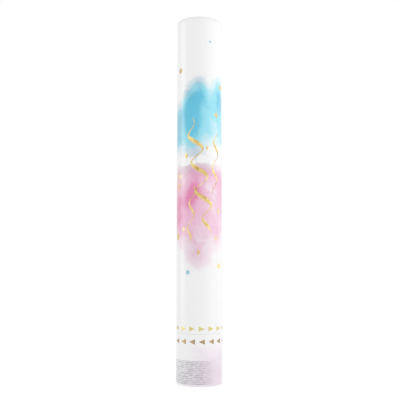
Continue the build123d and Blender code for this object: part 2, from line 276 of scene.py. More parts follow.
# A new finish with its tree and Object coordinates; even values go on the shader's own sockets
def newFinish(name, evenValues):
    finish = bpy.data.materials.new(name)
    finish.use_nodes = True
    tree = finish.node_tree
    for socket, value in evenValues.items():
        tree.nodes["Principled BSDF"].inputs[socket].default_value = value
    return finish, tree, addNode(tree, "TexCoord").outputs["Object"]


# The finish with its colour linked, and its roughness and normal where they vary
def dress(finish, colour, roughness=None, normal=None):
    tree = finish.node_tree
    shader = tree.nodes["Principled BSDF"]
    for socket, value in (("Base Color", colour), ("Roughness", roughness), ("Normal", normal)):
        if value is not None:
            tree.links.new(value, shader.inputs[socket])
    return finish


# Camera: stands level with the tube's lower third and looks slightly up, the pitch in degrees
cameraSettings = dict(distance=686.0, height=120.2, pitch=6.46, lens=55.88, sensor=36.0, shiftX=0.0019)


# The camera looks along +Y, pitched up by its angle
def addCamera():
    lens = bpy.data.cameras.new("camera")
    lens.lens = cameraSettings["lens"]
    lens.sensor_width = cameraSettings["sensor"]
    lens.shift_x = cameraSettings["shiftX"]
    camera = addObject("camera", lens)
    camera.location = (0, -cameraSettings["distance"] * mm, cameraSettings["height"] * mm)
    camera.rotation_euler = (radians(90 + cameraSettings["pitch"]), 0, 0)
    bpy.context.scene.camera = camera


# Studio: white backdrop, an even sky, a pale floor and soft lamps
studio = dict(
    backdrop=1.0,
    ambient=0.885,
    # the floor is open under the foot and clear from below, so that the underside can be seen
    floorRings=(24.9, 150.0, 450.0, 900.0, 1500.0),
    floorColumns=64,
    floorFade=(350.0, 1300.0),
    floorGlow=0.8,
    floorLevel=1.05,
    floorWhite=0.985,
    # name, turn in degrees from the camera, distance, height, width, length, watts, seen in gloss
    lamps=(
        ("rightPanel", 92, 800, 260, 1600, 1500, 2.5, True),
        ("leftStrip", -90, 1000, 260, 440, 1400, 2.2, True),
        ("rightSoft", 80, 1600, 260, 1200, 1300, 5.2, False),
        ("leftSoft", -75, 1900, 700, 1400, 1400, 0.7, False),
        ("frontFill", -20, 1200, 60, 900, 500, 0.4, False),
    ),
)


# A flag that is 1 for rays that see the backdrop: camera, glossy or transmission
def backdropRays(tree):
    path = addNode(tree, "LightPath").outputs
    either = calc(tree, "MAXIMUM", path["Is Camera Ray"], path["Is Glossy Ray"])
    return calc(tree, "MAXIMUM", either, path["Is Transmission Ray"])


# White for the backdrop rays, a plain even sky for the rest
def addWorld():
    world = bpy.data.worlds.new("studio")
    bpy.context.scene.world = world
    world.use_nodes = True
    tree = world.node_tree
    tree.nodes.clear()
    white = (1, 1, 1, 1)
    sky = addNode(tree, "Background", {"Color": white, "Strength": studio["ambient"]}).outputs[0]
    seen = addNode(tree, "Background", {"Color": white, "Strength": studio["backdrop"]}).outputs[0]
    both = addNode(tree, "MixShader", {0: backdropRays(tree), 1: sky, 2: seen}).outputs[0]
    addNode(tree, "OutputWorld", {0: both})


# Pale floor: matt white, mostly a glow for the backdrop rays, clear far away and from below
def paleFloor():
    finish = bpy.data.materials.new("paleFloor")
    finish.use_nodes = True
    tree = finish.node_tree
    tree.nodes.clear()
    place = addNode(tree, "TexCoord").outputs["Object"]
    radius, _, _ = roundPlace(tree, place)
    near, far = studio["floorFade"]
    below = addNode(tree, "NewGeometry").outputs["Backfacing"]
    fade = calc(tree, "MAXIMUM", rise(tree, radius, near * mm, far * mm), below)
    matt = addNode(tree, "BsdfDiffuse", {"Color": (*[studio["floorWhite"]] * 3, 1)}).outputs[0]
    glow = addNode(tree, "Emission", {"Strength": studio["floorLevel"]}).outputs[0]
    seen = calc(tree, "MULTIPLY", backdropRays(tree), studio["floorGlow"])
    lit = addNode(tree, "MixShader", {0: seen, 1: matt, 2: glow}).outputs[0]
    clear = addNode(tree, "BsdfTransparent").outputs[0]
    faded = addNode(tree, "MixShader", {0: fade, 1: lit, 2: clear}).outputs[0]
    addNode(tree, "OutputMaterial", {0: faded})
    return finish


# The floor is flat rings that face up, round a hole under the foot
def addFloor():
    columns = studio["floorColumns"]
    reach = np.array(studio["floorRings"])[:, None]
    points = roll(allRound(columns)[None, :], 0.0, reach)
    quads = gridQuads(len(reach), columns)[:, ::-1]
    mesh = gridMesh("floor", points, quads, turnOutwards=False)
    mesh.materials.append(paleFloor())
    addObject("floor", mesh)


# Lamps aimed at the middle of the tube; each shows in gloss only, or lights matt colour only
def addLamps():
    aim = (cadHigh.z + cadLow.z) / 2 / mm
    for name, turn, distance, height, width, length, watts, inGloss in studio["lamps"]:
        light = bpy.data.lights.new(name, "AREA")
        light.shape = "RECTANGLE"
        light.size = width * mm
        light.size_y = length * mm
        light.energy = watts
        lamp = addObject(name, light)
        lamp.location = tuple(roll(radians(turn), height, distance) * mm)
        drop = np.arctan2(height - aim, distance)
        lamp.rotation_euler = (pi / 2 - drop, 0, radians(turn))
        lamp.visible_diffuse = not inGloss
        lamp.visible_glossy = inGloss


addCamera()
addWorld()
addFloor()
addLamps()
bpy.context.scene.view_settings.view_transform = "Standard"
print("camera, backdrop and lamps set")

# Label: printed film-laminated paper, one turn with a lap at the back, same on barrel and grip
label = dict(
    columns=180,
    rows=96,
    skinGap=0.01,  # between paper and card
    lapAngle=188.3,
    lapWidth=7.0,
    lapStep=0.14,
    lapRamp=1.6,
    edgeRound=0.06,
    edgeSteps=4,
    sharpAngle=60,
    # how far the labels reach into the gap between barrel and grip, and past the foot margin
    seamReach=0.165,
    footReach=0.35,
    # hairline panel on the grip: turns of its ends, heights of its edges, and how far each fades
    panelTurns=(-132.0, 54.0),
    panelHeights=(1.6, 26.4),
    panelFadeTurn=60.0,
    panelFadeHeight=0.5,
)

# Washes: pale, middle and deep tone; puffs as turn, height, spread in degrees, spread in mm, strength
washes = dict(
    blue=dict(
        tones=((0.69, 0.87, 0.92), (0.31, 0.75, 0.88), (0.10, 0.54, 0.745)),
        puffs=(
            (-18, 303, 23, 20, 0.78),
            (5, 316, 18, 15, 0.46),
            (-20, 270, 24, 15, 0.64),
            (-37, 290, 16, 18, 0.46),
            (10, 289, 30, 24, 0.5),
            (62, 299, 27, 25, 0.72),
            (30, 300, 18, 21, 0.17),
            (64, 318, 24, 16, 0.4),
            (-72, 282, 24, 22, 0.72),
            (30, 266, 60, 12, 0.2),
            (-26, 252, 22, 14, 0.24),
            (2, 256, 24, 12, 0.14),
            (40, 262, 22, 12, 0.08),
            (76, 262, 24, 15, 0.28),
            (-8, 246, 18, 7, 0.18),
            # faint wash at the tube's left edge, greyed by the pool puff at the same place: painted
            # shade
            (-92, 250, 32, 13, 0.2),
            (-60, 262, 26, 9, 0.3),
            (112, 286, 32, 22, 0.6),
            (150, 300, 26, 18, 0.5),
            (-160, 286, 34, 22, 0.65),
            (-115, 298, 26, 16, 0.45),
        ),
    ),
    pink=dict(
        tones=((0.895, 0.76, 0.825), (0.845, 0.50, 0.66), (0.765, 0.22, 0.43)),
        puffs=(
            (-24, 198, 24, 22, 0.74),
            (-8, 209, 18, 12, 0.34),
            (18, 200, 30, 32, 0.46),
            (68, 202, 27, 30, 0.52),
            (56, 157, 36, 26, 0.36),
            (-68, 190, 26, 36, 0.8),
            (0, 225.5, 72, 9, 0.36),
            (62, 219, 32, 11, 0.22),
            (-22, 164, 44, 22, 0.42),
            (0, 134, 34, 18, 0.38),
            (108, 200, 32, 30, 0.55),
            (150, 178, 28, 28, 0.5),
            (-154, 198, 34, 28, 0.65),
            (-108, 178, 24, 24, 0.5),
            (180, 226, 60, 9, 0.3),
        ),
    ),
    mist=dict(
        tones=((0.875, 0.825, 0.875), (0.84, 0.75, 0.83), (0.80, 0.66, 0.775)),
        puffs=(
            (76, 10, 52, 28, 0.76),
            (14, 22, 46, 24, 0.32),
            (-22, 8, 40, 18, 0.22),
            (-150, 6, 60, 22, 0.5),
        ),
    ),
)

# Pools: where pigment gathers, a wash ends in a firmer, greyer edge; the puffs on the tube's left side,
# at -66 and -92 degrees, are painted shade multiplied in the same grey
poolsAndPaintedShade = dict(
    firmness=0.09,
    tone=(0.78, 0.70, 0.75),
    puffs=(
        (-30, 233.5, 26, 10, 1.0),
        (14, 233.5, 26, 9, 0.8),
        (-8, 248, 24, 9, 0.7),
        # painted shade on the tube's left side
        (-92, 246, 34, 16, 0.4),
        (-14, 142, 26, 22, 0.5),
        # painted shade on the tube's left side, greying the blue wash's edge
        (-66, 280, 18, 26, 0.8),
        (-31, 316, 16, 10, 0.7),
        (0, 326, 16, 8, 0.7),
        (112, 234, 30, 9, 0.8),
        (150, 312, 26, 10, 0.7),
        (-150, 150, 30, 20, 0.6),
        (-128, 234, 30, 9, 0.8),
    ),
)

# Print and film: how the washes cloud and cover, the hairlines, and the relief under the film
labelPrint = dict(
    sockets={"IOR": 1.5, "Coat Weight": 0.6, "Coat Roughness": 0.13, "Coat IOR": 1.5},
    paper=(0.906, 0.906, 0.908),
    # clouds in the washes, each with its amount
    clouding=(
        (dict(scale=46, detail=4, rough=0.55, twist=0.9), 0.496),
        (dict(scale=150, detail=3, rough=0.6, twist=0.4), 0.176),
        (dict(scale=700, detail=2, rough=0.6), 0.04),
    ),
    toneStops=(0.12, 0.34, 0.6, 0.95),
    coverEdge=(0.08, 0.36),
    linePitch=1.8,
    swellsPerTurn=44,
    rowShift=7.3,  # so that each row swells in its own way
    swell=dict(scale=1.0, detail=0.0),
    swellEdge=(0.3, 0.7),
    lineHalf=(0.1, 0.36),  # half a line's width over the pitch, thin and swollen
    lineBlur=0.1,
    inkShares=(0.18, 0.6),  # between the lines and on them
    ink=(0.23, 0.22, 0.27),
    handling=dict(scale=60, detail=4, rough=0.6),
    roughness=(0.32, 0.44),
    fibre=dict(scale=2600, detail=2, heightScale=0.35),
    ripple=dict(scale=130, detail=1, rough=0.4),
    jointPitch=58.0,
    jointEdge=(0.0, 0.02),
    bumpShares=(0.12, 1.0, 0.4),  # fibre, ripple, spiral joint
    bump=(0.03, 0.6),  # depth in mm, strength
)


# Outer radius of a label: level, then eased up by one step where the end laps over the start
def skinRadius(turn, radius):
    lapDegrees = np.degrees(label["lapWidth"] / radius)
    rampDegrees = np.degrees(label["lapRamp"] / radius)
    beforeEdge = (label["lapAngle"] - turn) % 360
    return radius + label["lapStep"] * ease((lapDegrees - beforeEdge) / rampDegrees)


# Wash strength: a sum of bell-shaped puffs, each wrapped round the tube
def washField(turn, height, puffs):
    total = np.zeros_like(turn)
    for puffTurn, puffHeight, spreadTurn, spreadHeight, strength in puffs:
        aside = ((turn - puffTurn + 180) % 360 - 180) / spreadTurn
        above = (height - puffHeight) / spreadHeight
        total += strength * np.exp(-(aside**2) - above**2)
    return total


# Washes on paper: painted strength plus clouding picks the tone and its cover, pools firm the edge and
# multiply a grey that is partly pooled pigment and partly painted shade
def washedPaper(tree, place):
    clouding = [(cloud(tree, place, **lumps), amount) for lumps, amount in labelPrint["clouding"]]
    lift = weighedSum(tree, clouding, -sum(amount for _, amount in clouding) / 2)
    # where pigment pools, and painted shade on the tube's left side
    pooledAndShaded = painted(tree, "poolAndShadeWash")
    low, high = labelPrint["coverEdge"]
    start = weighedSum(tree, [(pooledAndShaded, poolsAndPaintedShade["firmness"])], low)
    end = weighedSum(tree, [(pooledAndShaded, -poolsAndPaintedShade["firmness"])], high)
    colour = (*labelPrint["paper"], 1)
    for name, wash in washes.items():
        density = calc(tree, "ADD", painted(tree, name + "Wash"), lift)
        tones = (labelPrint["paper"], *wash["tones"])
        cover = rise(tree, density, start, end)
        colour = tint(tree, cover, colour, colourSteps(tree, density, labelPrint["toneStops"], tones))
        # the grey multiplied in is pooled pigment, and painted shade on the tube's left side
        settledAndShaded = calc(tree, "MULTIPLY", cover, pooledAndShaded)
        colour = tint(tree, settledAndShaded, colour, (*poolsAndPaintedShade["tone"], 1), "MULTIPLY")
    return colour


# Hairlines: rows at an even pitch, each line swelling and thinning along its row by noise
def hairlineInk(tree, turn, height):
    row = calc(tree, "DIVIDE", height, labelPrint["linePitch"] * mm)
    along = calc(tree, "MULTIPLY", turn, labelPrint["swellsPerTurn"] / (2 * pi))
    ownRow = calc(tree, "MULTIPLY", calc(tree, "FLOOR", row), labelPrint["rowShift"])
    swellPlace = addNode(tree, "CombineXYZ", {0: along, 1: ownRow}).outputs[0]
    swell = rise(tree, cloud(tree, swellPlace, **labelPrint["swell"]), *labelPrint["swellEdge"])
    half = span(tree, swell, *labelPrint["lineHalf"])
    inner = calc(tree, "SUBTRACT", half, labelPrint["lineBlur"])
    line = rise(tree, fromMiddle(tree, row), half, inner)
    inked = span(tree, line, *labelPrint["inkShares"])
    return calc(tree, "MULTIPLY", inked, painted(tree, "hairlines"))


# Printed label: washes and hairlines under a clear film; fibres, ripples and the spiral joint raise it
def printedLabel():
    finish, tree, place = newFinish("printedLabel", labelPrint["sockets"])
    _, turn, height = roundPlace(tree, place)
    inked = hairlineInk(tree, turn, height)
    colour = tint(tree, inked, washedPaper(tree, place), (*labelPrint["ink"], 1))
    roughness = span(tree, cloud(tree, place, **labelPrint["handling"]), *labelPrint["roughness"])
    joint = fromJoint(tree, turn, height, labelPrint["jointPitch"])
    bumps = (
        cloud(tree, place, **labelPrint["fibre"]),
        cloud(tree, place, **labelPrint["ripple"]),
        rise(tree, joint, *labelPrint["jointEdge"]),
    )
    raised = weighedSum(tree, zip(bumps, labelPrint["bumpShares"]))
    return dress(finish, colour, roughness, relief(tree, raised, *labelPrint["bump"]))


# A closed ring: outer wall with rounded ends, then the inner wall, both round the lapped section
def addLabel(name, node, card, body, below, above, finish):
    bottom, top, radius = extent(node)
    bottom -= below
    top += above
    innerRadius = extent(card)[2] + label["skinGap"]
    turn = np.linspace(label["lapAngle"] - 360, label["lapAngle"], label["columns"] + 1)
    outer = skinRadius(turn, radius)
    outer[0] = radius
    outer[-1] = radius + label["lapStep"]
    quarter = np.linspace(0, pi / 2, label["edgeSteps"])
    endRise = label["edgeRound"] * (1 - np.cos(quarter))
    endInset = label["edgeRound"] * (1 - np.sin(quarter))
    middle = np.linspace(bottom + label["edgeRound"], top - label["edgeRound"], label["rows"])[1:-1]
    heights = np.concatenate([bottom + endRise, middle, top - endRise[::-1], [top, bottom]])
    insets = np.concatenate([endInset, 0 * middle, endInset[::-1]])
    innerWall = np.full((2, len(turn)), innerRadius)
    radii = np.concatenate([outer[None, :] - insets[:, None], innerWall])
    points = roll(np.radians(turn)[None, :], heights[:, None], radii)
    quads = gridQuads(len(heights), len(turn), closeRows=True)
    piece = addPiece(name, points, quads, finish, body, "label", label["sharpAngle"], (node,))
    x, y, height = meshPoints(piece).T
    turnOf = np.degrees(np.arctan2(x, -y))
    for wash, settings in dict(washes, poolAndShade=poolsAndPaintedShade).items():
        paint(piece, wash + "Wash", washField(turnOf, height, settings["puffs"]))
    ends = between(turnOf, *label["panelTurns"], label["panelFadeTurn"])
    edges = between(height, *label["panelHeights"], label["panelFadeHeight"])
    paint(piece, "hairlines", ends * edges)


paper = printedLabel()
seamReach = label["seamReach"]
addLabel("printedBarrelLabel", "barrel_label", "launch_tube", "barrel", seamReach, 0, paper)
addLabel("printedGripLabel", "grip_label", "grip_tube", "base", label["footReach"], seamReach, paper)
print("labels wrapped")

# Foil and ink: thin stamped patches on the label, turns in degrees and heights in mm
foil = dict(
    lift=0.035,
    seat=0.006,
    sink=0.02,
    edgeSlope=6,
    sharpAngle=80,
    rings=(0.0, 0.45, 0.8, 0.93, 1.0),
    columns=36,
    sparkleColumns=48,
    stripSides=(-1.0, -0.86, -0.5, 0.0, 0.5, 0.86, 1.0),
    # streamers: turn and height of both ends, waves, sway, thickest and thinnest stroke in mm
    streamers=(
        dict(start=(-22, 288), end=(26, 158), waves=4.2, sway=7.4, thick=4.6, thin=0.9, phase=0.4),
        dict(start=(50, 274), end=(38, 200), waves=2.6, sway=4.0, thick=2.8, thin=0.7, phase=1.6),
        dict(start=(-14, 212), end=(-26, 148), waves=2.4, sway=3.4, thick=2.4, thin=0.7, phase=0.0),
        dict(start=(208, 284), end=(152, 152), waves=4.2, sway=7.4, thick=4.6, thin=0.9, phase=2.2),
        dict(start=(136, 266), end=(154, 200), waves=2.4, sway=3.8, thick=2.7, thin=0.7, phase=0.6),
    ),
    streamerSteps=220,
    calmEnds=0.35,  # share of the sway that is left at a streamer's ends
    swayRamp=4,
    tipRamp=9,
    strokePower=1.5,
    # sparkles: turn, height, half width, half height
    sparkles=(
        (48, 290, 3.0, 5.2),
        (-34, 244, 2.6, 4.6),
        (56, 184, 2.8, 5.0),
        (20, 252, 2.0, 3.6),
        (-2, 139, 2.3, 4.1),
        (46, 154, 2.0, 3.6),
        (-42, 164, 2.0, 3.6),
        (132, 290, 3.0, 5.2),
        (216, 236, 2.6, 4.6),
        (196, 142, 2.3, 4.1),
        (126, 172, 2.6, 4.6),
        (172, 250, 2.0, 3.6),
    ),
    # bursts: turn, height, half width, half height, rays
    bursts=((-62, 217, 8.0, 14.0, 14), (118, 224, 8.0, 14.0, 14)),
    raySteps=26,
    rayStart=0.3,
    rayReaches=(0.7, 0.46),
    rayHalfWidth=0.75,
    rayRamps=(5, 10),
    rayThinning=1.1,
    # dots: turn, height, radius
    goldDots=(
        (69, 323, 3.0),
        (57, 124.7, 3.0),
        (-66, 156.4, 3.0),
        (124, 346, 3.0),
        (-138, 330, 3.1),
        (168, 122, 3.0),
    ),
    # gold dots on the tube's left side, stamped in the darker bronze foil as painted shade
    paintedShadeGoldDots=((-55, 341, 3.1), (-118, 140, 2.6)),
    inkDots=(
        (29, 372, 1.3),
        (-29.3, 118, 2.4),
        (100, 368, 2.2),
        (-108, 362, 1.9),
        (176, 374, 2.3),
        (112, 112, 2.3),
        (-152, 104, 2.0),
    ),
    marksAround=15,
    markTurn=-17.7,
    upperMarkHeight=59.0,
    lowerMarkHeight=45.7,
    markLength=6.6,
    markTall=5.6,
)


# A patch given by turn, height and how near the outline each point lies: two skins that meet there
def twoSkins(turn, height, edge, radius):
    base = skinRadius(turn, radius) + foil["seat"]
    inside = ease((1 - edge) * foil["edgeSlope"])
    top = roll(np.radians(turn), height, base + foil["lift"] * inside)
    under = roll(np.radians(turn), height, base - foil["sink"] * inside)
    return np.stack([top, under])


# Polar patches: rings shrunk from an outline, which gives its reach across and along by direction
def polarPatches(centres, outline, radius, columns=foil["columns"]):
    ring = np.array(foil["rings"])[None, :, None]
    across, along = outline(allRound(columns))
    rows = np.array(centres, dtype=float).T[:, :, None, None]
    centreTurn, centreHeight, halfWidth, halfTall = rows
    turn = centreTurn + np.degrees(halfWidth * ring * across / radius)
    height = centreHeight + halfTall * ring * along
    edge = np.broadcast_to(ring, turn.shape)
    points = np.swapaxes(twoSkins(turn, height, edge, radius), 0, 1)
    quads = gridQuads(ring.size, columns)
    return points, repeatQuads(quads, 2 * len(centres), ring.size * columns)


# A circle: cosine across and sine along
def circle(way):
    return np.cos(way), np.sin(way)


# A four-pointed sparkle: the cubes of cosine and sine
def sparkle(way):
    return np.cos(way) ** 3, np.sin(way) ** 3


# A triangle with its point ahead: the reach is one half over the cosine from the nearest side's
# middle, and both ways are then brought to run from -1 to 1
def triangle(way):
    sideReach = 0.5
    reach = sideReach / np.cos(way % (2 * pi / 3) - pi / 3)
    middle = (1 - sideReach) / 2
    halfLength = (1 + sideReach) / 2
    return (reach * np.cos(way) - middle) / halfLength, reach * np.sin(way) / sin(pi / 3)


# Round dots of equal half sizes
def dots(places, radius):
    return polarPatches([(turn, height, size, size) for turn, height, size in places], circle, radius)


# Twist marks: equal triangles all round at one height, pointing with or against the turn
def twistMarks(height, direction, radius):
    turns = foil["markTurn"] + np.degrees(allRound(foil["marksAround"]))
    halves = (direction * foil["markLength"] / 2, foil["markTall"] / 2)
    return polarPatches([(turn, height, *halves) for turn in turns], triangle, radius)


# A strip patch along a line: points to either side of it, by the stroke's half width
def stripPatch(turn, height, halfWidth, radius):
    side = np.array(foil["stripSides"])[None, :]
    arc = np.radians(turn) * radius
    runArc = np.gradient(arc)
    runHeight = np.gradient(height)
    length = np.hypot(runArc, runHeight)
    flatArc = arc[:, None] - side * (halfWidth * runHeight / length)[:, None]
    flatHeight = height[:, None] + side * (halfWidth * runArc / length)[:, None]
    edge = np.broadcast_to(np.abs(side), flatArc.shape).copy()
    edge[[0, -1]] = 1
    points = twoSkins(np.degrees(flatArc / radius), flatHeight, edge, radius)
    quads = gridQuads(len(turn), side.size, closeColumns=False)
    return points, repeatQuads(quads, 2, len(turn) * side.size)


# Parts joined into one list of points and quads
def joinParts(parts):
    pointLists = [points.reshape(-1, 3) for points, _ in parts]
    starts = np.cumsum([0] + [len(points) for points in pointLists])
    quads = [part[1] + start for part, start in zip(parts, starts)]
    return np.concatenate(pointLists), np.concatenate(quads)


# A streamer: a straight fall with a sine sway, thick on one slant and thin on the other, tapered
def streamerPart(streamer, radius):
    t = np.linspace(0, 1, foil["streamerSteps"])
    swing = 2 * pi * streamer["waves"] * t + streamer["phase"]
    calm = foil["calmEnds"]
    lively = calm + (1 - calm) * endTaper(t, foil["swayRamp"], foil["swayRamp"])
    sway = streamer["sway"] * np.sin(swing) * lively
    startTurn, startHeight = streamer["start"]
    endTurn, endHeight = streamer["end"]
    turn = startTurn + (endTurn - startTurn) * t + np.degrees(sway / radius)
    height = startHeight + (endHeight - startHeight) * t
    stroke = (0.5 + 0.5 * np.cos(swing)) ** foil["strokePower"]
    width = streamer["thin"] + (streamer["thick"] - streamer["thin"]) * stroke
    width *= endTaper(t, foil["tipRamp"], foil["tipRamp"])
    return stripPatch(turn, height, width / 2, radius)


# A burst: tapered rays from an inner to an outer oval, long and short by turns
def burstParts(burst, radius):
    turn, height, halfWidth, halfTall, rays = burst
    t = np.linspace(0, 1, foil["raySteps"])
    width = foil["rayHalfWidth"] * endTaper(t, *foil["rayRamps"]) * (foil["rayThinning"] - t)
    parts = []
    for ray in range(rays):
        way = 2 * pi * (ray + 0.5) / rays
        reach = foil["rayStart"] + foil["rayReaches"][ray % 2] * t
        rayTurn = turn + np.degrees(halfWidth * reach * sin(way) / radius)
        rayHeight = height + halfTall * reach * cos(way)
        parts.append(stripPatch(rayTurn, rayHeight, width, radius))
    return parts


# Foil and ink looks: soft mottling picks the tone, fine rolling lines roughen the foil
foilLook = dict(
    sockets={"Metallic": 1.0},
    mottle=dict(scale=120, detail=3, rough=0.6),
    toneStops=(0.32, 0.5, 0.68),
    lines=dict(scale=900, detail=2, heightScale=6),
    roughness=(0.3, 0.46),
    bump=(0.02, 0.5),
)
inkLook = dict(
    sockets={"IOR": 1.5, "Coat Weight": 0.45, "Coat Roughness": 0.12},
    cover=dict(scale=900, detail=3, rough=0.6),
    toneStops=(0.3, 0.7),
    tones=((0.25, 0.55, 0.66), (0.38, 0.65, 0.73)),
    roughness=(0.26, 0.36),
)


# Stamped foil: metal that goes from a dark to a bright tone in soft mottling, with fine rolling lines
def stampedFoil(name, dark, middle, bright):
    finish, tree, place = newFinish(name, foilLook["sockets"])
    mottle = cloud(tree, place, **foilLook["mottle"])
    colour = colourSteps(tree, mottle, foilLook["toneStops"], (dark, middle, bright))
    lines = cloud(tree, place, **foilLook["lines"])
    roughness = span(tree, lines, *foilLook["roughness"])
    return dress(finish, colour, roughness, relief(tree, lines, *foilLook["bump"]))


# Blue ink: a flat spot of the wash colour, thin where the plate printed lightly
def blueInk():
    finish, tree, place = newFinish("blueInk", inkLook["sockets"])
    cover = cloud(tree, place, **inkLook["cover"])
    colour = colourSteps(tree, cover, inkLook["toneStops"], inkLook["tones"])
    return dress(finish, colour, span(tree, cover, *inkLook["roughness"]))


gold = stampedFoil("goldFoil", (0.47, 0.31, 0.13), (0.75, 0.56, 0.21), (0.90, 0.77, 0.36))
oliveGold = stampedFoil("oliveGoldFoil", (0.54, 0.47, 0.20), (0.68, 0.61, 0.26), (0.76, 0.70, 0.34))
# bronze foil on the lower twist marks; on the left side's gold dots it is a darker copy of the gold,
# painted shade
bronzeAndShadedGold = stampedFoil("bronzeAndShadedGoldFoil", (0.36, 0.24, 0.135), (0.46, 0.325, 0.175), (0.55, 0.42, 0.25))
barrelRadius = extent("barrel_label")[2]
gripRadius = extent("grip_label")[2]
streamers = joinParts([streamerPart(streamer, barrelRadius) for streamer in foil["streamers"]])
bursts = joinParts([part for burst in foil["bursts"] for part in burstParts(burst, barrelRadius)])
sparkles = polarPatches(foil["sparkles"], sparkle, barrelRadius, foil["sparkleColumns"])
upperMarks = twistMarks(foil["upperMarkHeight"], 1, barrelRadius)
lowerMarks = twistMarks(foil["lowerMarkHeight"], -1, gripRadius)
stampings = (
    ("goldStreamers", streamers, gold, "barrel", "gold_foil"),
    ("goldBursts", bursts, gold, "barrel", "gold_foil"),
    ("goldSparkles", sparkles, gold, "barrel", "gold_foil"),
    ("goldDots", dots(foil["goldDots"], barrelRadius), gold, "barrel", "gold_foil"),
    # gold dots in the darker foil: painted shade
    ("paintedShadeGoldDots", dots(foil["paintedShadeGoldDots"], barrelRadius), bronzeAndShadedGold, "barrel", "gold_foil"),
    ("blueDots", dots(foil["inkDots"], barrelRadius), blueInk(), "barrel", "label"),
    ("upperTwistMarks", upperMarks, oliveGold, "barrel", "gold_foil"),
    ("lowerTwistMarks", lowerMarks, bronzeAndShadedGold, "base", "gold_foil"),
)
for name, patch, finish, body, slot in stampings:
    addPiece(name, *patch, finish, body, slot, foil["sharpAngle"])
print("foil and ink stamped")

# Confetti: columns of thin tissue discs, jittered and warped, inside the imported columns
tissueDiscs = dict(
    perColumn=170,
    segments=18,
    inset=0.25,
    jitter=0.2,
    warp=0.35,
    tilt=0.25,
    fill=0.8,  # share of the pitch that a disc's thickness takes
    sharpAngle=50,
)
tissueLook = dict(
    sockets={"Sheen Weight": 0.15, "Sheen Roughness": 0.5},
    fibre=dict(scale=1500, detail=4, rough=0.65, twist=0.6, heightScale=0.3),
    fibreShare=0.5,
    shadeShare=0.5,
    toneStops=(0.2, 0.5, 0.8),
    tones=((0.36, 0.77, 0.90), (0.48, 0.84, 0.93), (0.62, 0.89, 0.95)),
    roughness=(0.75, 0.95),
    bump=(0.1, 0.6),
)


# Tissue: pale blue paper, a little lighter or deeper from disc to disc, with fine fibres
def tissuePaper():
    finish, tree, place = newFinish("tissuePaper", tissueLook["sockets"])
    fibre = cloud(tree, place, **tissueLook["fibre"])
    shares = [(fibre, tissueLook["fibreShare"]), (painted(tree, "shade"), tissueLook["shadeShare"])]
    tone = weighedSum(tree, shares)
    colour = colourSteps(tree, tone, tissueLook["toneStops"], tissueLook["tones"])
    roughness = span(tree, fibre, *tissueLook["roughness"])
    return dress(finish, colour, roughness, relief(tree, fibre, *tissueLook["bump"]))


# A column: every disc is a pole, two rims and a pole; its rim waves as a double cosine plus a tilt
def addDiscColumn(node, finish):
    bottom, top, outside = extent(node)
    centreX, centreY = axisPlace(node)
    count, segments = tissueDiscs["perColumn"], tissueDiscs["segments"]
    margin = tissueDiscs["warp"] + tissueDiscs["tilt"]
    pitch = (top - bottom - 2 * margin) / count
    sizes, shiftsX, shiftsY, waves, phases, tilts = seededDraws.uniform(-1, 1, (6, count, 1, 1))
    way = allRound(segments)[None, None, :]
    reach = np.array([0.0, 1.0, 1.0, 0.0])[None, :, None]
    level = np.array([-0.5, -0.5, 0.5, 0.5])[None, :, None] * tissueDiscs["fill"] * pitch
    halfJitter = tissueDiscs["jitter"] / 2
    discReach = (outside - tissueDiscs["inset"] - halfJitter * (1 + sizes)) * reach
    x = centreX + halfJitter * shiftsX + discReach * np.cos(way)
    y = centreY + halfJitter * shiftsY + discReach * np.sin(way)
    wave = tissueDiscs["warp"] * waves * np.cos(2 * way + pi * phases)
    slope = tissueDiscs["tilt"] * tilts * np.cos(way + pi * phases)
    middle = bottom + margin + pitch * (np.arange(count)[:, None, None] + 0.5)
    z = middle + level + reach * (wave + slope)
    points = np.stack(np.broadcast_arrays(x, y, z), axis=-1)
    quads = repeatQuads(gridQuads(reach.size, segments), count, reach.size * segments)
    name = "tissueDiscs" + node[-1]
    piece = addPiece(name, points, quads, finish, "load", "tissue", tissueDiscs["sharpAngle"], (node,))
    height = meshPoints(piece)[:, 2] - bottom - margin
    disc = np.clip(height / pitch, 0, count - 1).astype(int)
    paint(piece, "shade", seededDraws.uniform(0, 1, count)[disc])


tissue = tissuePaper()
for stack in ("confetti_stack_1", "confetti_stack_2", "confetti_stack_3"):
    addDiscColumn(stack, tissue)
print("confetti stacked")

# Muzzle cap: one turned profile, lip and web above, beaded skirt below
capShape = dict(
    columns=160,
    lip=2.4,
    rim=4.0,
    web=1.2,
    edge=0.6,
    lowEdge=0.25,
    corner=0.3,  # in the corners under the web and on it
    roundSteps=6,
    skirtWall=1.2,
    skirtSlack=2.8,
    skirtSteps=40,
    footEdge=0.2,
    leadWidth=0.4,
    leadHeight=0.5,
    neck=0.2,
    beadHeight=0.12,
    beads=3,
    stepRing=0.35,
    stepRadius=12.0,
    stepSlope=0.3,
    stepWidth=0.8,
    gateRadius=1.6,
    gateDepth=0.3,
    gateSlope=0.4,
    sharpAngle=30,
    colour=(0.87, 0.87, 0.86),
)
plasticLook = dict(
    sockets={"IOR": 1.5},
    flow=dict(scale=70, detail=3, rough=0.55, twist=1.2),
    toneStops=(0.3, 0.7),
    flowShade=0.965,
    grain=dict(scale=3200, detail=2),
    roughness=(0.42, 0.58),
    bump=(0.02, 0.5),
)


# Moulded plastic: an even colour with faint flow clouds and a fine spark-eroded grain
def mouldedPlastic(name, colour, roughness=plasticLook["roughness"]):
    finish, tree, place = newFinish(name, plasticLook["sockets"])
    tones = (shaded(colour, plasticLook["flowShade"]), colour)
    flow = colourSteps(tree, cloud(tree, place, **plasticLook["flow"]), plasticLook["toneStops"], tones)
    grain = cloud(tree, place, **plasticLook["grain"])
    return dress(finish, flow, span(tree, grain, *roughness), relief(tree, grain, *plasticLook["bump"]))


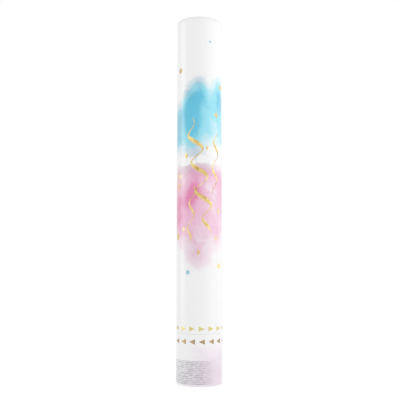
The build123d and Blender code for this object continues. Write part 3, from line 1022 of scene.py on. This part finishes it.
# A quarter round from one direction to another about a centre, as radius and height pairs
def quarterRound(centreRadius, centreHeight, size, startWay, endWay):
    way = np.linspace(startWay, endWay, capShape["roundSteps"])
    return np.stack([centreRadius + size * np.cos(way), centreHeight + size * np.sin(way)], axis=-1)


# Skirt wall from its lead to its neck, as radius and height pairs: the radius bulges in cosine beads
def beadedSkirt(skirt, bottom, seat):
    t = np.linspace(0, 1, capShape["skirtSteps"])
    beads = capShape["beadHeight"] * (0.5 - 0.5 * np.cos(2 * pi * capShape["beads"] * t))
    low = bottom + capShape["leadHeight"]
    high = seat - capShape["neck"]
    return np.stack([skirt + beads, low + (high - low) * t], axis=-1)


# The cap's profile, from the middle of its underside round to the gate mark, is carried round the axis
def addCap(finish):
    bottom, top, radius = extent("muzzle_cap")
    seat = top - capShape["lip"]
    skirt = radius - capShape["skirtSlack"]
    skirtInner = skirt - capShape["skirtWall"]
    rimInner = radius - capShape["rim"]
    web = seat + capShape["web"]
    edge = capShape["edge"]
    lowEdge = capShape["lowEdge"]
    corner = capShape["corner"]
    foot = capShape["footEdge"]
    step = capShape["stepRadius"]
    stepInner = step - capShape["stepWidth"]
    ringTop = web + capShape["stepRing"]
    gate = capShape["gateRadius"]
    gateFloor = web - capShape["gateDepth"]
    profile = np.concatenate(
        [
            [(0, seat), (step, seat), (skirtInner - corner, seat), (skirtInner, seat - corner)],
            [(skirtInner, bottom + foot), (skirtInner + foot, bottom)],
            [(skirt - capShape["leadWidth"], bottom)],
            beadedSkirt(skirt, bottom, seat),
            [(skirt, seat)],
            quarterRound(radius - lowEdge, seat + lowEdge, lowEdge, -pi / 2, 0),
            quarterRound(radius - edge, top - edge, edge, 0, pi / 2),
            quarterRound(rimInner + edge, top - edge, edge, pi / 2, pi),
            quarterRound(rimInner - corner, web + corner, corner, 0, -pi / 2),
            [(step + capShape["stepSlope"], web), (step, ringTop)],
            [(stepInner, ringTop), (stepInner - capShape["stepSlope"], web)],
            [(gate + capShape["gateSlope"], web), (gate, gateFloor), (0, gateFloor)],
        ]
    )
    columns = capShape["columns"]
    points = roll(allRound(columns)[None, :], profile[:, 1, None], profile[:, 0, None])
    quads = gridQuads(len(profile), columns)
    replaced = ("muzzle_cap",)
    addPiece("muzzleCap", points, quads, finish, "cap", "cap_plastic", capShape["sharpAngle"], replaced)


addCap(mouldedPlastic("capPlastic", capShape["colour"]))
print("cap turned")

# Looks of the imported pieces: card, metal, rubber and board, noise scales in lumps per metre
cardLook = dict(
    sockets={"IOR": 1.4, "Roughness": 0.85},
    ply=0.45,
    plyEdge=(-0.3, 0.7),
    endFacing=(0.6, 0.9),
    plyShare=0.35,
    jointEdge=(0.012, 0.004),
    jointShare=0.5,
    jointShade=0.6,
    fibre=dict(scale=1100, detail=5, rough=0.65, twist=0.4, heightScale=0.4),
    toneStops=(0.3, 0.65),
    fleck=dict(scale=1700, detail=2, rough=0.6),
    fleckEdge=(0.68, 0.78),
    fleckShare=0.5,
    fleckTone=(0.2, 0.15, 0.1),
    bump=(0.06, 0.6),
)
metalLook = dict(
    sockets={"Metallic": 1.0},
    stain=dict(scale=90, detail=3, rough=0.6),
    toneStops=(0.3, 0.7),
    stainShade=0.93,
    streak=dict(scale=2400, detail=3, rough=0.6),
    # how streaks run: scale of the height, and mm for each radian of turn
    turned=(1.0, 0.2),
    drawn=(0.1, 6.0),
    roughness=(0.18, 0.4),
    bump=(0.01, 0.5),
)
rubberLook = dict(
    sockets={"IOR": 1.5},
    bloom=dict(scale=800, detail=4, rough=0.6),
    toneStops=(0.35, 0.8),
    tones=((0.018, 0.018, 0.02), (0.06, 0.06, 0.062)),
    roughness=(0.5, 0.75),
)
boardLook = dict(
    sockets={"IOR": 1.4, "Roughness": 0.92},
    fibre=dict(scale=900, detail=6, rough=0.7, twist=1.5),
    toneStops=(0.3, 0.7),
    tones=((0.29, 0.23, 0.16), (0.45, 0.37, 0.28)),
    fleck=dict(scale=1500, detail=2, rough=0.6),
    fleckEdge=(0.64, 0.74),
    fleckShare=0.6,
    fleckTone=(0.62, 0.56, 0.46),
    bump=(0.2, 0.6),
)


# A colour with flecks: the peaks of a noise take their share of the fleck's tone
def flecked(tree, place, colour, look):
    peaks = rise(tree, cloud(tree, place, **look["fleck"]), *look["fleckEdge"])
    share = calc(tree, "MULTIPLY", peaks, look["fleckShare"])
    return tint(tree, share, colour, (*look["fleckTone"], 1))


# Wound card: kraft plies that show as rings at the cut ends and as a spiral joint along the walls
def woundCard(name, pale, dark, pitch):
    finish, tree, place = newFinish(name, cardLook["sockets"])
    radius, turn, height = roundPlace(tree, place)
    rings = calc(tree, "SINE", calc(tree, "MULTIPLY", radius, 2 * pi / (cardLook["ply"] * mm)))
    normal = addNode(tree, "NewGeometry").outputs["Normal"]
    upright = calc(tree, "ABSOLUTE", addNode(tree, "SeparateXYZ", {0: normal}).outputs[2])
    ends = rise(tree, upright, *cardLook["endFacing"])
    plies = calc(tree, "MULTIPLY", rise(tree, rings, *cardLook["plyEdge"]), ends)
    joint = rise(tree, fromJoint(tree, turn, height, pitch), *cardLook["jointEdge"])
    fibre = cloud(tree, place, **cardLook["fibre"])
    colour = colourSteps(tree, fibre, cardLook["toneStops"], (dark, pale))
    shade = weighedSum(tree, [(plies, cardLook["plyShare"]), (joint, cardLook["jointShare"])])
    colour = tint(tree, shade, colour, (*shaded(dark, cardLook["jointShade"]), 1))
    colour = flecked(tree, place, colour, cardLook)
    raised = calc(tree, "SUBTRACT", fibre, calc(tree, "ADD", plies, joint))
    return dress(finish, colour, normal=relief(tree, raised, *cardLook["bump"]))


# Turned or drawn metal: fine streaks round the axis or along it, by noise on the unrolled surface
def workedMetal(name, colour, streaks):
    finish, tree, place = newFinish(name, metalLook["sockets"])
    radius, turn, height = roundPlace(tree, place)
    heightScale, turnReach = streaks
    around = calc(tree, "MULTIPLY", turn, turnReach * mm)
    unrolled = addNode(tree, "CombineXYZ", {0: radius, 1: around, 2: height}).outputs[0]
    streak = cloud(tree, unrolled, heightScale=heightScale, **metalLook["streak"])
    stain = cloud(tree, place, **metalLook["stain"])
    tones = (shaded(colour, metalLook["stainShade"]), colour)
    stained = colourSteps(tree, stain, metalLook["toneStops"], tones)
    roughness = span(tree, streak, *metalLook["roughness"])
    return dress(finish, stained, roughness, relief(tree, streak, *metalLook["bump"]))


# Rubber: near black with a bloom of paler dust
def sealRubber():
    finish, tree, place = newFinish("sealRubber", rubberLook["sockets"])
    bloom = cloud(tree, place, **rubberLook["bloom"])
    colour = colourSteps(tree, bloom, rubberLook["toneStops"], rubberLook["tones"])
    return dress(finish, colour, span(tree, bloom, *rubberLook["roughness"]))


# Pressed board: grey-brown felted fibres with pale flecks
def pressedBoard():
    finish, tree, place = newFinish("pressedBoard", boardLook["sockets"])
    fibre = cloud(tree, place, **boardLook["fibre"])
    colour = colourSteps(tree, fibre, boardLook["toneStops"], boardLook["tones"])
    colour = flecked(tree, place, colour, boardLook)
    return dress(finish, colour, normal=relief(tree, fibre, *boardLook["bump"]))


# Valve spring: round wire between the poppet and its clip
valveSpring = dict(wire=0.4, turns=4, stepsPerTurn=40, sides=14, flatEnds=0.55, sharpAngle=50)


# A circle carried along a helix; the height is t less a share of sine 2 pi t, so the ends lie flatter
def addValveSpring(finish):
    bottom, top, outside = extent("fill_valve_spring")
    wireRadius = valveSpring["wire"] / 2
    coilRadius = outside - wireRadius
    t = np.linspace(0, 1, valveSpring["turns"] * valveSpring["stepsPerTurn"] + 1)
    way = 2 * pi * valveSpring["turns"] * t
    climb = t - valveSpring["flatEnds"] * np.sin(2 * pi * t) / (2 * pi)
    height = bottom + wireRadius + (top - bottom - valveSpring["wire"]) * climb
    outward = np.stack([np.cos(way), np.sin(way), 0 * way], axis=-1)
    path = coilRadius * outward
    path[:, :2] += axisPlace("fill_valve_spring")
    path[:, 2] = height
    run = np.gradient(path, axis=0)
    across = np.cross(run / np.linalg.norm(run, axis=1, keepdims=True), outward)
    roundWire = allRound(valveSpring["sides"])[None, :, None]
    ring = np.cos(roundWire) * outward[:, None] + np.sin(roundWire) * across[:, None]
    skin = path[:, None] + wireRadius * ring
    firstEnd = np.broadcast_to(path[:1, None], skin[:1].shape)
    lastEnd = np.broadcast_to(path[-1:, None], skin[:1].shape)
    points = np.concatenate([firstEnd, skin, lastEnd])
    quads = gridQuads(len(points), valveSpring["sides"])
    replaced = ("fill_valve_spring",)
    piece = addPiece(
        "valveSpring", points, quads, finish, "barrel", "steel", valveSpring["sharpAngle"], replaced
    )
    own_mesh(piece)


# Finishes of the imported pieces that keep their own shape; the last number of a card is its pitch
collarPlastic = mouldedPlastic("collarPlastic", (0.74, 0.74, 0.71))
camPlastic = mouldedPlastic("camPlastic", (0.56, 0.59, 0.62))
tubeCard = woundCard("tubeCard", (0.62, 0.53, 0.40), (0.50, 0.41, 0.29), 62.0)
brass = workedMetal("turnedBrass", (0.74, 0.55, 0.24), metalLook["turned"])
steel = workedMetal("drawnSteel", (0.58, 0.59, 0.60), metalLook["drawn"])
rubber = sealRubber()
nodeFinishes = dict(
    grip_tube=tubeCard,
    launch_tube=tubeCard,
    spacer_tube=woundCard("linerCard", (0.55, 0.44, 0.30), (0.44, 0.33, 0.21), 48.0),
    base_plug=mouldedPlastic("basePlastic", (0.84, 0.84, 0.83)),
    cam_hub=camPlastic,
    cam_sleeve=camPlastic,
    swivel_collar=collarPlastic,
    centring_ring=collarPlastic,
    gas_can=workedMetal("canMetal", (0.78, 0.79, 0.80), metalLook["turned"]),
    valve_block=mouldedPlastic("blockPlastic", (0.05, 0.052, 0.058), roughness=(0.36, 0.52)),
    outlet_plug=mouldedPlastic("plugPlastic", (0.52, 0.06, 0.045), roughness=(0.34, 0.5)),
    block_seal=rubber,
    rod_seal=rubber,
    plug_seal=rubber,
    fill_valve_washer=rubber,
    fill_valve_body=brass,
    fill_valve_clip=brass,
    fill_valve_poppet=brass,
    release_rod=steel,
    cross_pin=steel,
    wad=pressedBoard(),
)
addValveSpring(steel)
for node, finish in nodeFinishes.items():
    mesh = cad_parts[node].data
    mesh.materials.clear()
    mesh.materials.append(finish)
print("finishes given to", len(nodeFinishes), "packed pieces")
